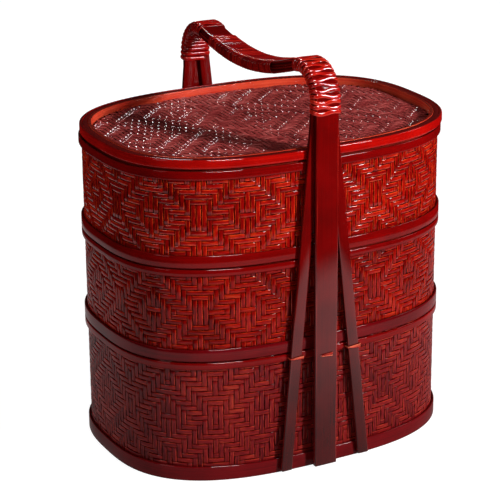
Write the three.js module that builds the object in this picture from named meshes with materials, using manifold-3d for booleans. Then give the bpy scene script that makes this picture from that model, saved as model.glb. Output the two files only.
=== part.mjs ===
// Three-tier bamboo picnic basket with a fixed arched handle, in millimetres, +Z up.
// The origin is on the table under the middle of the basket. X runs along its long side.
// A base compartment carries the handle; two trays and a lid stack on it, each nesting
// over the lip of the one below.

import * as THREE from 'three';
import { mergeVertices } from 'three/addons/utils/BufferGeometryUtils.js';
import Module from 'manifold-3d';

const wasm = await Module();
wasm.setup();

// Plan of the basket: a rounded oval, where an exponent of 2 would be an ellipse.
const basket_length = 340;
const basket_width = 248;
const plan_exponent = 2.77;
const outline_steps = 48;

// Clearance between pieces that touch or slide.
const fit_gap = 0.3;

// The stack, from the table up.
const base_height = 117.5;
const middle_height = 89.6;
const top_height = 91.2;
const lid_height = 10.2;
const nesting_lip = 7;

// Bent bamboo hoops round each tier.
const hoop_thickness = 2.4;
const hoop_edge_round = 0.9;
const base_foot_hoop_height = 14.2;
const tray_foot_hoop_height = 12.8;
const top_hoop_height = 6.7;
const top_tier_hoop_height = 8.4;

// Walls and floor of a tier, outside to inside.
const weave_thickness = 1.8;
const liner_thickness = 2;
const floor_thickness = 3;
const floor_bearer_width = 2.5;
const weave_foot_lift = 0.8;

// Lid: a hollow rim that swallows the lip of the top tray, and a sunk woven panel. It
// sits a little to the right, within the slack round the lip.
const lid_shift = 1.3;
const lid_band_thickness = 3;
const lid_inner_band_thickness = 2.9;
const lid_edge_round = 2.1;
const lid_filler_step = 0.3;
const lid_panel_sink = 6.2;
const lid_panel_thickness = 1.8;
const lid_board_thickness = 1.6;

// Handle strips: one wide centre strip over two narrow ones that splay to the feet.
const centre_strip_width = 23;
const centre_strip_thickness = 5;
const side_strip_width = 11;
const side_strip_thickness = 4.5;
const strip_edge_cut = 1;
const side_strip_groove = 3;
const side_foot_offset = 41.5;
const splay_easing = 0.03;
const strip_foot_lift = 2.4;

// The handle stands a little to the left of the middle, and the two splayed feet less so.
const handle_shift = -4.4;
const splay_shift = 2.9;

// The arch of the handle: both corners bend alike and the grip between them dips.
const bend_radius = 30;
const front_bend_rise = 44;
const rear_bend_rise = 36;
const front_dip_slope = THREE.MathUtils.degToRad(17);
const rear_dip_slope = THREE.MathUtils.degToRad(14);
const dip_reach_share = 0.39;
const upright_shares = [0, 0.85, 0.93, 0.97];
const bend_steps = 8;
const grip_steps = 16;

// Flat rattan cane that binds the three strips together along the arch.
const cane_width = 3.4;
const cane_thickness = 1.4;
const cane_self_gap = 0.5;
const cane_corner_radius = 2.2;
const front_wrap_loops = 12;
const rear_wrap_loops = 12;
const front_wrap_drop = 11.4;
const rear_wrap_drop = 8.4;
const front_bare_length = 39;
const rear_bare_length = 21;

// Fixings between the strips and the base: cane ties at the rim, spacers and dowels.
const tie_height = 4.2;
const tie_thickness = 1.2;
const centre_stitch_width = 13;
const spacer_width = 9;
const dowel_radius = 1.5;
const dowel_bite = 3;
const dowel_sides = 8;

// Values that follow from those sizes.
const half_length = basket_length / 2;
const half_width = basket_width / 2;
const weave_inset = hoop_thickness + fit_gap;
const liner_inset = weave_inset + weave_thickness + fit_gap;
const bearer_inset = liner_inset + liner_thickness + fit_gap;
const middle_bottom = base_height + fit_gap;
const top_bottom = middle_bottom + middle_height + fit_gap;
const lid_bottom = top_bottom + top_height + fit_gap;
const stack_top = lid_bottom + lid_height;
const centre_layer = 2 * fit_gap + side_strip_thickness + centre_strip_thickness / 2;
const arch_half_span = half_width + centre_layer;
const pair_offset = (side_strip_groove + side_strip_width) / 2;
const bundle_half_width = pair_offset + side_strip_width / 2;
const bundle_thickness = centre_strip_thickness + fit_gap + side_strip_thickness;
const bundle_depth = (bundle_thickness - centre_strip_thickness) / 2;
const front_upright = stack_top + front_bend_rise;
const rear_upright = stack_top + rear_bend_rise;
const front_rise = front_upright - strip_foot_lift;
const rear_rise = rear_upright - strip_foot_lift;
const splay_end_height = Math.min(front_upright, rear_upright);
const dowel_height = base_foot_hoop_height / 2;

// A point of the plan outline, counted round anticlockwise from +X, moved inward by inset.
function planPoint(step, inset, height) {
  const turn = (2 * Math.PI * step) / outline_steps;
  const power = 2 / plan_exponent;
  const along = Math.sign(Math.cos(turn)) * Math.abs(Math.cos(turn)) ** power;
  const across = Math.sign(Math.sin(turn)) * Math.abs(Math.sin(turn)) ** power;
  const normal = new THREE.Vector2(
    (Math.sign(along) * Math.abs(along) ** (plan_exponent - 1)) / half_length,
    (Math.sign(across) * Math.abs(across) ** (plan_exponent - 1)) / half_width,
  ).normalize();
  return new THREE.Vector3(
    half_length * along - inset * normal.x,
    half_width * across - inset * normal.y,
    height,
  );
}

// Distance of the outline from the X axis at a place along the basket.
function outlineDepth(x) {
  return half_width * (1 - Math.abs(x / half_length) ** plan_exponent) ** (1 / plan_exponent);
}

// A skin over a row of like sections. A closed loft joins its last section to its first,
// and an open one is capped at both ends.
function loft(sections, closed) {
  const size = sections[0].length;
  const positions = sections.flat().flatMap((point) => point.toArray());
  const faces = [];
  const spans = closed ? sections.length : sections.length - 1;
  for (let span = 0; span < spans; span += 1) {
    const here = span * size;
    const next = ((span + 1) % sections.length) * size;
    for (let side = 0; side < size; side += 1) {
      const after = (side + 1) % size;
      faces.push(here + side, next + side, next + after);
      faces.push(here + side, next + after, here + after);
    }
  }
  if (!closed) {
    const last = (sections.length - 1) * size;
    for (let side = 1; side < size - 1; side += 1) {
      faces.push(0, side, side + 1);
      faces.push(last, last + side + 1, last + side);
    }
  }
  const geometry = new THREE.BufferGeometry();
  geometry.setAttribute('position', new THREE.Float32BufferAttribute(positions, 3));
  geometry.setIndex(faces);
  return geometry;
}

// A hoop or wall that follows the plan: the profile gives [inset, height] corners, going
// up the outside, in over the top and down the inside.
function ring(profile) {
  const sections = [];
  for (let step = 0; step < outline_steps; step += 1) {
    sections.push(profile.map(([inset, height]) => planPoint(step, inset, height)));
  }
  return loft(sections, true);
}

function wallProfile(inset, thickness, bottom, top) {
  return [[inset, bottom], [inset, top], [inset + thickness, top], [inset + thickness, bottom]];
}

function hoopProfile(bottom, top) {
  return [
    [hoop_edge_round, bottom],
    [0, bottom + hoop_edge_round],
    [0, top - hoop_edge_round],
    [hoop_edge_round, top],
    [hoop_thickness, top],
    [hoop_thickness, bottom],
  ];
}

// A flat board cut to the plan.
function plate(inset, bottom, thickness) {
  const corners = [];
  for (let step = 0; step < outline_steps; step += 1) {
    const corner = planPoint(step, inset, 0);
    corners.push(new THREE.Vector2(corner.x, corner.y));
  }
  const board = new THREE.ExtrudeGeometry(new THREE.Shape(corners), {
    depth: thickness,
    bevelEnabled: false,
  });
  return board.translate(0, 0, bottom);
}

// Solids for cutting, and the way back to a geometry.
function toSolid(geometry) {
  const bare = geometry.clone();
  bare.deleteAttribute('normal');
  bare.deleteAttribute('uv');
  const merged = mergeVertices(bare, 1e-3);
  return new wasm.Manifold(new wasm.Mesh({
    numProp: 3,
    vertProperties: merged.attributes.position.array,
    triVerts: new Uint32Array(merged.index.array),
  }));
}

function fromSolid(solid) {
  const mesh = solid.getMesh();
  const geometry = new THREE.BufferGeometry();
  geometry.setAttribute('position', new THREE.BufferAttribute(mesh.vertProperties, 3));
  geometry.setIndex(new THREE.BufferAttribute(mesh.triVerts, 1));
  return geometry;
}

function cutAll(geometry, cutters) {
  return fromSolid(cutters.reduce((body, cutter) => body.subtract(toSolid(cutter)), toSolid(geometry)));
}

// Every piece is one mesh with a finish of its own.
const basket = new THREE.Group();

function addPiece(name, geometry, color, roughness) {
  const finish = new THREE.MeshStandardMaterial({ color, roughness, metalness: 0 });
  const piece = new THREE.Mesh(geometry, finish);
  piece.name = name;
  piece.geometry.computeVertexNormals();
  basket.add(piece);
}

// Centre line of the arch in the plane across the basket, as a path of [depth, height],
// from the front foot over the grip to the rear foot.
function archPath() {
  const front_centre = bend_radius - arch_half_span;
  const rear_centre = arch_half_span - bend_radius;
  const front_end = Math.PI / 2 - front_dip_slope;
  const rear_start = Math.PI / 2 + rear_dip_slope;
  const grip_start = new THREE.Vector2(
    front_centre + bend_radius * Math.cos(front_end),
    front_upright + bend_radius * Math.sin(front_end),
  );
  const grip_end = new THREE.Vector2(
    rear_centre + bend_radius * Math.cos(rear_start),
    rear_upright + bend_radius * Math.sin(rear_start),
  );
  const reach = dip_reach_share * grip_start.distanceTo(grip_end);
  const path = new THREE.Path();
  path.moveTo(-arch_half_span, strip_foot_lift);
  path.lineTo(-arch_half_span, front_upright);
  path.absarc(front_centre, front_upright, bend_radius, Math.PI, front_end, true);
  path.bezierCurveTo(
    grip_start.x + reach * Math.cos(front_dip_slope),
    grip_start.y - reach * Math.sin(front_dip_slope),
    grip_end.x - reach * Math.cos(rear_dip_slope),
    grip_end.y - reach * Math.sin(rear_dip_slope),
    grip_end.x,
    grip_end.y,
  );
  path.absarc(rear_centre, rear_upright, bend_radius, rear_start, 0, true);
  path.lineTo(arch_half_span, strip_foot_lift);
  return path;
}

const arch = archPath();
const arch_length = arch.getLength();

// Place, outward direction and forward direction at a distance along the arch.
function archFrame(distance) {
  const share = distance / arch_length;
  const place = arch.getPoint(share);
  const forward = arch.getTangent(share);
  return {
    place: new THREE.Vector3(0, place.x, place.y),
    forward: new THREE.Vector3(0, forward.x, forward.y),
    outward: new THREE.Vector3(0, -forward.y, forward.x),
  };
}

// Share of the splay at a height, which falls from 1 at the foot to 0 at the bend.
function splayShare(height) {
  const fall = 1 - height / splay_end_height;
  return (fall + Math.hypot(fall, splay_easing)) / 2;
}

// Where the middle of a strip lies along X, and how it leans. side is -1, 0 or 1.
function stripPlace(side, height) {
  const splay = (side_foot_offset - pair_offset) * splayShare(height);
  const drift = splay_shift * splayShare(height);
  return handle_shift + side * (pair_offset + splay) + Math.abs(side) * drift;
}

function stripLean(side, height) {
  return (stripPlace(side, height + 1) - stripPlace(side, height - 1)) / 2;
}

// Distances along the arch where a strip needs a section: few on the straight uprights,
// more round the bends and the grip.
function archStations() {
  const front = front_rise;
  const rear = arch_length - rear_rise;
  const front_bend_end = front + bend_radius * (Math.PI / 2 + front_dip_slope);
  const rear_bend_start = rear - bend_radius * (Math.PI / 2 + rear_dip_slope);
  const stations = upright_shares.map((share) => share * front_rise);
  for (let step = 0; step < bend_steps; step += 1) {
    stations.push(front + ((front_bend_end - front) * step) / bend_steps);
  }
  for (let step = 0; step < grip_steps; step += 1) {
    stations.push(front_bend_end + ((rear_bend_start - front_bend_end) * step) / grip_steps);
  }
  for (let step = 0; step <= bend_steps; step += 1) {
    stations.push(rear_bend_start + ((rear - rear_bend_start) * step) / bend_steps);
  }
  const rear_shares = upright_shares.map((share) => arch_length - share * rear_rise);
  return stations.concat(rear_shares.reverse());
}

// A bamboo strip with its four edges planed off, bent along the arch.
function stripGeometry({ side, width, thickness, back }) {
  const w = width / 2;
  const t = thickness / 2;
  const cut = strip_edge_cut;
  const depth = centre_layer - back - t;
  const profile = [
    [w - cut, t], [-w + cut, t], [-w, t - cut], [-w, -t + cut],
    [-w + cut, -t], [w - cut, -t], [w, -t + cut], [w, t - cut],
  ];
  const sections = archStations().map((distance) => {
    const { place, outward } = archFrame(distance);
    const middle = stripPlace(side, place.z);
    const stretch = Math.hypot(1, stripLean(side, place.z));
    return profile.map(([across, out]) => {
      const point = place.clone().addScaledVector(outward, out - depth);
      point.x = middle + across * stretch;
      return point;
    });
  });
  return loft(sections, false);
}

// A winding of flat cane round the three strips: one unbroken helical tube. Its ends run
// straight along the inner face of the strips.
function winding(start, loops, pitch) {
  const reach_out = bundle_thickness / 2 + fit_gap + cane_thickness / 2;
  const corner_steps = 3;
  const loop_steps = 4 * corner_steps;
  const stations = [];
  const cane = (distance, across, out, turn) => {
    const { place, forward, outward } = archFrame(distance);
    const ray = new THREE.Vector3(Math.cos(turn), 0, 0).addScaledVector(outward, Math.sin(turn));
    const centre = place.clone().addScaledVector(outward, out - bundle_depth);
    centre.x = handle_shift + across;
    const corner = (along, up) => centre.clone()
      .addScaledVector(forward, (along * cane_width) / 2)
      .addScaledVector(ray, (up * cane_thickness) / 2);
    stations.push([corner(1, 1), corner(-1, 1), corner(-1, -1), corner(1, -1)]);
  };
  const inner_face = -Math.PI / 2;
  cane(start, 0, -reach_out, inner_face);
  for (let step = 0; step < loops * loop_steps; step += 1) {
    const distance = start + (pitch * step) / loop_steps;
    const height = archFrame(distance).place.z;
    const spread = (side_foot_offset + splay_shift - pair_offset) * splayShare(height);
    const reach_side = bundle_half_width + spread + fit_gap + cane_thickness / 2;
    const corner = Math.floor(step / corner_steps);
    const turn = inner_face + ((corner + (step % corner_steps) / (corner_steps - 1)) * Math.PI) / 2;
    const middle = inner_face + ((corner + 0.5) * Math.PI) / 2;
    const across = Math.sign(Math.cos(middle)) * (reach_side - cane_corner_radius);
    const out = Math.sign(Math.sin(middle)) * (reach_out - cane_corner_radius);
    cane(
      distance,
      across + cane_corner_radius * Math.cos(turn),
      out + cane_corner_radius * Math.sin(turn),
      turn,
    );
  }
  cane(start + pitch * (loops - 1 / loop_steps), 0, -reach_out, inner_face);
  return { stations, loop_steps };
}

// Least distance between one loop of a winding and the next, measured on its corners.
function leastGap({ stations, loop_steps }) {
  let least = Infinity;
  for (let step = 0; step + loop_steps + 1 < stations.length; step += 1) {
    for (let ahead = loop_steps - 1; ahead <= loop_steps + 1; ahead += 1) {
      for (const point of stations[step]) {
        for (const other of stations[step + ahead]) {
          least = Math.min(least, point.distanceTo(other));
        }
      }
    }
  }
  return least;
}

// A tier: foot hoop, floor bearer, floor, liner with its lip, woven wall and top hoop.
function addTier({ tier, bottom, height, foot_height, hoop_height, bores }) {
  const top = bottom + height;
  const floor_bottom = bottom + nesting_lip;
  const liner_bottom = floor_bottom + floor_thickness + fit_gap;
  const foot_hoop = ring(hoopProfile(bottom, bottom + foot_height));
  addPiece(`${tier}_foot_hoop`, cutAll(foot_hoop, bores), 0x8e0f10, 0.25);
  const wall_bottom = bottom + weave_foot_lift;
  const bearer = wallProfile(bearer_inset, floor_bearer_width, wall_bottom, floor_bottom - fit_gap);
  addPiece(`${tier}_floor_bearer`, ring(bearer), 0x6e1a12, 0.5);
  addPiece(`${tier}_floor`, plate(liner_inset, floor_bottom, floor_thickness), 0x7a2014, 0.5);
  const liner = wallProfile(liner_inset, liner_thickness, liner_bottom, top + nesting_lip);
  addPiece(`${tier}_wall_liner`, ring(liner), 0x7a2014, 0.45);
  const weave = wallProfile(weave_inset, weave_thickness, wall_bottom, top - fit_gap);
  addPiece(`${tier}_woven_wall`, ring(weave), 0xa52c18, 0.35);
  addPiece(`${tier}_top_hoop`, ring(hoopProfile(top - hoop_height, top)), 0x9c1011, 0.25);
}

function addLidPiece(name, geometry, color, roughness) {
  addPiece(name, geometry.translate(lid_shift, 0, 0), color, roughness);
}

// The lid: an outer band, an inner band and a filler between them that closes the rim
// above the channel for the lip, with the woven panel and its backing board inside.
function addLid() {
  const round = lid_edge_round;
  const channel_inset = lid_band_thickness + fit_gap;
  const inner_inset = bearer_inset + lid_shift;
  const panel_inset = inner_inset + lid_inner_band_thickness + fit_gap;
  const channel_top = lid_bottom + nesting_lip;
  const panel_bottom = stack_top - lid_panel_sink - lid_panel_thickness;
  const board_bottom = panel_bottom - fit_gap - lid_board_thickness;
  const outer_band = [
    [hoop_edge_round, lid_bottom],
    [0, lid_bottom + hoop_edge_round],
    [0, stack_top - round],
    [round / 3, stack_top - round / 3],
    [round, stack_top],
    [lid_band_thickness, stack_top],
    [lid_band_thickness, lid_bottom],
  ];
  addLidPiece('lid_outer_band', ring(outer_band), 0xa51212, 0.22);
  const filler_width = inner_inset - fit_gap - channel_inset;
  const filler = wallProfile(channel_inset, filler_width, channel_top, stack_top - lid_filler_step);
  addLidPiece('lid_rim_filler', ring(filler), 0x8e0f10, 0.3);
  const inner_band = wallProfile(inner_inset, lid_inner_band_thickness, lid_bottom + fit_gap, stack_top);
  addLidPiece('lid_inner_band', ring(inner_band), 0xb01a12, 0.25);
  const panel = plate(panel_inset, panel_bottom, lid_panel_thickness);
  addLidPiece('lid_woven_panel', panel, 0x7a2424, 0.3);
  const board = plate(panel_inset, board_bottom, lid_board_thickness);
  addLidPiece('lid_backing_board', board, 0x6e1a12, 0.5);
}

// A staple of cane over the front of a strip, with its legs back against the rim hoop.
function tieGeometry({ stitch, back, thickness }) {
  const outside = stitch / 2;
  const inside = outside - tie_thickness;
  const crown = back + thickness + fit_gap;
  const staple = new THREE.Shape();
  staple.moveTo(-outside, fit_gap);
  staple.lineTo(-inside, fit_gap);
  staple.lineTo(-inside, crown);
  staple.lineTo(inside, crown);
  staple.lineTo(inside, fit_gap);
  staple.lineTo(outside, fit_gap);
  staple.lineTo(outside, crown + tie_thickness / 2);
  staple.lineTo(outside - tie_thickness / 2, crown + tie_thickness);
  staple.lineTo(-outside + tie_thickness / 2, crown + tie_thickness);
  staple.lineTo(-outside, crown + tie_thickness / 2);
  return new THREE.ExtrudeGeometry(staple, { depth: tie_height, bevelEnabled: false })
    .translate(0, 0, -tie_height / 2);
}

// The two ends of the arch, and its three strips: back is the distance from the hoop's
// widest line out to the strip.
const ends = [
  { end: 'front', facing: -1 },
  { end: 'rear', facing: 1 },
];
const centre_back = centre_layer - centre_strip_thickness / 2;
const side_size = {
  width: side_strip_width,
  thickness: side_strip_thickness,
  back: fit_gap,
  stitch: side_strip_width + 2 * fit_gap + 2 * tie_thickness,
};
const centre_size = {
  width: centre_strip_width,
  thickness: centre_strip_thickness,
  back: centre_back,
  stitch: centre_stitch_width,
};
const strips = [
  { name: 'left', side: -1, ...side_size },
  { name: 'centre', side: 0, ...centre_size },
  { name: 'right', side: 1, ...side_size },
];

// A round bar from the foot hoop's inner face out into a strip, or its bore with slack.
function dowelBar(facing, { side, back }, slack) {
  const x = stripPlace(side, dowel_height);
  const inner = outlineDepth(x) - hoop_thickness - slack;
  const outer = half_width + back + dowel_bite + slack;
  const radius = dowel_radius + slack;
  return new THREE.CylinderGeometry(radius, radius, outer - inner, dowel_sides)
    .translate(x, (facing * (outer + inner)) / 2, dowel_height);
}

function dowelBores(chosen) {
  return ends.flatMap(({ facing }) => chosen.map((one) => dowelBar(facing, one, fit_gap)));
}

// Slots through the centre strip for the legs of its two ties.
const tie_middle = base_height - top_hoop_height / 2;
function stitchSlots() {
  const leg = (centre_stitch_width - tie_thickness) / 2;
  const depth = centre_strip_thickness + 2 * fit_gap;
  return ends.flatMap(({ facing }) => [-leg, leg].map((x) => (
    new THREE.BoxGeometry(tie_thickness + 2 * fit_gap, depth, tie_height + 2 * fit_gap)
      .translate(handle_shift + x, facing * arch_half_span, tie_middle)
  )));
}

addTier({
  tier: 'base',
  bottom: 0,
  height: base_height,
  foot_height: base_foot_hoop_height,
  hoop_height: top_hoop_height,
  bores: dowelBores(strips),
});
addTier({
  tier: 'middle',
  bottom: middle_bottom,
  height: middle_height,
  foot_height: tray_foot_hoop_height,
  hoop_height: top_hoop_height,
  bores: [],
});
addTier({
  tier: 'top',
  bottom: top_bottom,
  height: top_height,
  foot_height: tray_foot_hoop_height,
  hoop_height: top_tier_hoop_height,
  bores: [],
});
addLid();

for (const one of strips) {
  const holes = one.side === 0 ? [...dowelBores([one]), ...stitchSlots()] : dowelBores([one]);
  addPiece(`handle_${one.name}_strip`, cutAll(stripGeometry(one), holes), 0x5e1214, 0.3);
}

// The pitch of the cane leaves a gap between its loops on the inside of a bend.
const inner_radius = bend_radius - centre_strip_thickness / 2 - fit_gap - side_strip_thickness
  - fit_gap - cane_thickness;
const cane_pitch = ((cane_width + cane_self_gap) * bend_radius) / inner_radius;
const front_wrap_start = front_rise - front_wrap_drop;
const rear_wrap_start = arch_length - rear_rise + rear_wrap_drop - rear_wrap_loops * cane_pitch;

// The winding of the grip fills what the two bare lengths beside it leave.
const grip_wrap_start = front_wrap_start + front_wrap_loops * cane_pitch + front_bare_length;
const grip_wrap_length = rear_wrap_start - rear_bare_length - grip_wrap_start;
const grip_wrap_loops = Math.floor(grip_wrap_length / cane_pitch);
const wraps = [
  ['front_corner_wrap', front_wrap_start, front_wrap_loops, cane_pitch],
  ['grip_wrap', grip_wrap_start, grip_wrap_loops, grip_wrap_length / grip_wrap_loops],
  ['rear_corner_wrap', rear_wrap_start, rear_wrap_loops, cane_pitch],
];
for (const [name, start, loops, pitch] of wraps) {
  const cane = winding(start, loops, pitch);
  console.log(`${name}: least gap between loops ${leastGap(cane).toFixed(2)} mm`);
  addPiece(name, loft(cane.stations, false), 0xa8140f, 0.25);
}

// Spacers behind the centre strip, and the ties and dowels of all three strips.
const spacer_depth = centre_back - 2 * fit_gap;
for (const { end, facing } of ends) {
  const spacers = [
    ['rim', base_height - top_hoop_height, base_height],
    ['foot', 0, base_foot_hoop_height],
  ];
  for (const [place, bottom, top] of spacers) {
    const block = new THREE.BoxGeometry(spacer_width, spacer_depth, top - bottom)
      .translate(handle_shift, facing * (half_width + fit_gap + spacer_depth / 2), (top + bottom) / 2);
    addPiece(`${end}_${place}_spacer`, cutAll(block, dowelBores(strips)), 0x4a1010, 0.5);
  }
  for (const one of strips) {
    const tie = tieGeometry(one)
      .rotateZ(((1 - facing) * Math.PI) / 2)
      .rotateY(Math.atan(stripLean(one.side, tie_middle)))
      .translate(stripPlace(one.side, tie_middle), facing * half_width, tie_middle);
    addPiece(`${end}_${one.name}_tie`, tie, 0xc8261a, 0.2);
    addPiece(`${end}_${one.name}_dowel`, dowelBar(facing, one, 0), 0x9a5a30, 0.6);
  }
}

export default basket;
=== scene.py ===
import math

import bpy
import numpy as np
from mathutils import Matrix, Vector


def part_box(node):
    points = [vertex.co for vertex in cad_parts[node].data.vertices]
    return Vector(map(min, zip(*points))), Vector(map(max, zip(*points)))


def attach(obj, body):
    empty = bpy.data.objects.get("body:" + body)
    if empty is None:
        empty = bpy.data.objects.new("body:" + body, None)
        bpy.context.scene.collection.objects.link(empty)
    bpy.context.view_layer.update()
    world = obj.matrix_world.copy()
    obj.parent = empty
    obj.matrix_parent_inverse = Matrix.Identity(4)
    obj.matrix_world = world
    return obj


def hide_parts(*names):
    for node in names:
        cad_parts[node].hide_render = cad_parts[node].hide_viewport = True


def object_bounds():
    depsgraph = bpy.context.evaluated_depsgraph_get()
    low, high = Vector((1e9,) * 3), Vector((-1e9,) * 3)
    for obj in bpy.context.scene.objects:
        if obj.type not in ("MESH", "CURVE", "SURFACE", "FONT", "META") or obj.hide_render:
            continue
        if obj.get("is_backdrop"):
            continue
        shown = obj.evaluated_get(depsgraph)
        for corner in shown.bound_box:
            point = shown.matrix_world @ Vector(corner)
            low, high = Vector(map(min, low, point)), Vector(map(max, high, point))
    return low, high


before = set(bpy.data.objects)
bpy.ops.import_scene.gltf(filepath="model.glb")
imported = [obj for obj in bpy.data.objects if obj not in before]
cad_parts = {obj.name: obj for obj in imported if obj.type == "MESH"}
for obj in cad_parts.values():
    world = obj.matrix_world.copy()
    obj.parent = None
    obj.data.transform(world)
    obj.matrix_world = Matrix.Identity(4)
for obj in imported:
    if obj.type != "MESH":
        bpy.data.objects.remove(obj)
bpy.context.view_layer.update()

# Camera. A long lens off the basket's front left corner, a little above the lid, looking at the middle
# of the stack. The small roll and shift are the picture's own framing.
CAMERA_AZIMUTH = math.radians(-28.03)
CAMERA_ELEVATION = math.radians(19.5)
CAMERA_ROLL = math.radians(-0.35)
CAMERA_DISTANCE = 1.8763
CAMERA_LENS = 139.9
CAMERA_SHIFT = (-0.023, -0.0078)
STACK_MIDDLE = Vector((0, 0, 0.1775))


def view_direction(azimuth, elevation):
    """From the basket towards a viewer or a lamp at that azimuth and elevation."""
    level = math.cos(elevation)
    return Vector((math.sin(azimuth) * level, -math.cos(azimuth) * level, math.sin(elevation)))


to_camera = view_direction(CAMERA_AZIMUTH, CAMERA_ELEVATION)
bpy.ops.object.camera_add(location=STACK_MIDDLE + CAMERA_DISTANCE * to_camera)
camera = bpy.context.object
level_turn = (-to_camera).to_track_quat("-Z", "Y").to_matrix()
camera.rotation_euler = (level_turn @ Matrix.Rotation(CAMERA_ROLL, 3, "Z")).to_euler()
camera.data.lens = CAMERA_LENS
camera.data.shift_x, camera.data.shift_y = CAMERA_SHIFT
bpy.context.scene.camera = camera
bpy.context.scene.view_settings.view_transform = "Standard"

# Table and light. A table that the camera sees as plain white, in a dark studio. The main lamp stands low
# in front, a little to the right, and throws the handle's shadow over the lid. Others fill in from the
# sides and behind, and three show only as glints in the lacquer, which reflects a dim room. The table
# shows in the gloss as a painted reflection: it glows there only, dim close by, bright in a ring further
# out and dark beyond.
FLOOR_SIZE = 40
TABLE_TONE = 0.25
TABLE_BOUNCE = 0.6
TABLE_GLOW = 0.95
# The table's glow as seen in the gloss, a painted reflection, by distance from the middle of the table.
SHEEN_NEAR = 0.35
SHEEN_MIDDLE = 0.85
SHEEN_FAR = 0.01
SHEEN_RISE = (0.15, 0.45)
SHEEN_FALL = (0.6, 0.72)
SKY_LEVEL = 0.12
SKY_IN_GLOSS = 0.02
# Each lamp's azimuth and elevation in degrees, its distance, width and height in metres and its watts,
# and then whether it lights the surfaces and whether it shows in their gloss.
SOFTBOXES = (
    ("key_softbox", 26, 25, 1.9, 0.16, 0.16, 38, True, False),
    ("right_softbox", 74, 35, 1.6, 0.4, 0.4, 3, True, True),
    ("fill_softbox", -70, 20, 2.4, 0.7, 0.7, 6, True, True),
    ("back_softbox", 190, 5, 1.9, 0.7, 0.7, 20, True, False),
    ("left_glint", -10, 52, 1.3, 0.4, 0.3, 30, False, True),
    ("front_glint", 32, 28, 1.5, 0.3, 0.6, 24, False, True),
    ("rear_glint", 164, 46, 1.8, 0.24, 0.24, 12, False, True),
)


class Signal:
    """A socket's value in a node tree. Operators on it add Math nodes; node() adds any other node."""

    def __init__(self, tree, socket=None):
        self.tree = tree
        self.socket = socket

    def node(self, kind, values=(), output=0, stops=(), **settings):
        made = self.tree.nodes.new("ShaderNode" + kind)
        for name, setting in settings.items():
            setattr(made, name, setting)
        for place, stop in enumerate(stops):
            if place > 1:
                made.color_ramp.elements.new(stop[0])
            made.color_ramp.elements[place].position = stop[0]
            made.color_ramp.elements[place].color = (*stop[1], 1)
        for place, value in dict(values).items():
            self.link(value, made.inputs[place])
        return Signal(self.tree, made.outputs[output])

    def link(self, value, socket):
        if isinstance(value, Signal):
            self.tree.links.new(value.socket, socket)
        else:
            socket.default_value = value

    def math(self, operation, *values):
        return self.node("Math", enumerate(values), operation=operation)

    def mix(self, factor, first, second):
        values = {0: factor, 6: first, 7: second}
        return self.node("Mix", values, output=2, data_type="RGBA")

    def step(self, start, end):
        """0 up to start and 1 from end on, eased between."""
        values = {"Value": self, "From Min": start, "From Max": end}
        return self.node("MapRange", values, interpolation_type="SMOOTHSTEP")

    def __add__(self, other):
        return self.math("ADD", self, other)

    def __sub__(self, other):
        return self.math("SUBTRACT", self, other)

    def __rsub__(self, other):
        return self.math("SUBTRACT", other, self)

    def __mul__(self, other):
        return self.math("MULTIPLY", self, other)

    def __truediv__(self, other):
        return self.math("DIVIDE", self, other)

    def __abs__(self):
        return self.math("ABSOLUTE", self)

    __radd__ = __add__
    __rmul__ = __mul__


def new_material(name):
    """A material's start signal and its Principled shader."""
    material = bpy.data.materials.new(name)
    material.use_nodes = True
    shader = material.node_tree.nodes["Principled BSDF"]
    return material, Signal(material.node_tree), shader


def gray(tone):
    """An even grey as a socket's colour."""
    return (tone, tone, tone, 1)


bpy.ops.mesh.primitive_plane_add(size=FLOOR_SIZE)
floor = bpy.context.object
floor.name = "studio_floor"
floor_finish, start, shader = new_material("white_table")
seen = start.node("LightPath", output="Is Camera Ray")
mirrored = start.node("LightPath", output="Is Glossy Ray")
place = start.node("TexCoord", output="Object")
reach = start.node("VectorMath", {0: place}, output="Value", operation="LENGTH")
# Painted reflection: the table glows only to glossy rays, in a bright ring round the basket.
painted_sheen = start.mix(reach.step(*SHEEN_RISE), gray(SHEEN_NEAR), gray(SHEEN_MIDDLE))
painted_sheen = start.mix(reach.step(*SHEEN_FALL), painted_sheen, gray(SHEEN_FAR))
tone = start.mix(seen, gray(TABLE_BOUNCE), gray(TABLE_TONE))
start.link(start.mix(mirrored, tone, gray(0)), shader.inputs["Base Color"])
glow = start.mix(mirrored, gray(0), painted_sheen)
start.link(start.mix(seen, glow, gray(TABLE_GLOW)), shader.inputs["Emission Color"])
shader.inputs["Emission Strength"].default_value = 1.0
shader.inputs["Roughness"].default_value = 0.9
shader.inputs["Specular IOR Level"].default_value = 0.0
floor.data.materials.append(floor_finish)
floor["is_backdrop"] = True

sky = bpy.data.worlds.new("studio")
sky.use_nodes = True
bpy.context.scene.world = sky
start = Signal(sky.node_tree)
seen = start.node("LightPath", output="Is Camera Ray")
mirrored = start.node("LightPath", output="Is Glossy Ray")
level = mirrored * (SKY_IN_GLOSS - SKY_LEVEL) + SKY_LEVEL
background = sky.node_tree.nodes["Background"]
background.inputs["Color"].default_value = gray(1)
start.link(start.math("MAXIMUM", seen, level), background.inputs["Strength"])

for name, azimuth, elevation, distance, width, height, power, lights_surfaces, glints in SOFTBOXES:
    direction = view_direction(math.radians(azimuth), math.radians(elevation))
    bpy.ops.object.light_add(type="AREA", location=STACK_MIDDLE + distance * direction)
    softbox = bpy.context.object
    softbox.name = name
    softbox.rotation_euler = direction.to_track_quat("Z", "Y").to_euler()
    softbox.data.shape = "RECTANGLE"
    softbox.data.size, softbox.data.size_y = width, height
    softbox.data.energy = power
    softbox.visible_diffuse = lights_surfaces
    softbox.visible_glossy = glints
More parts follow.
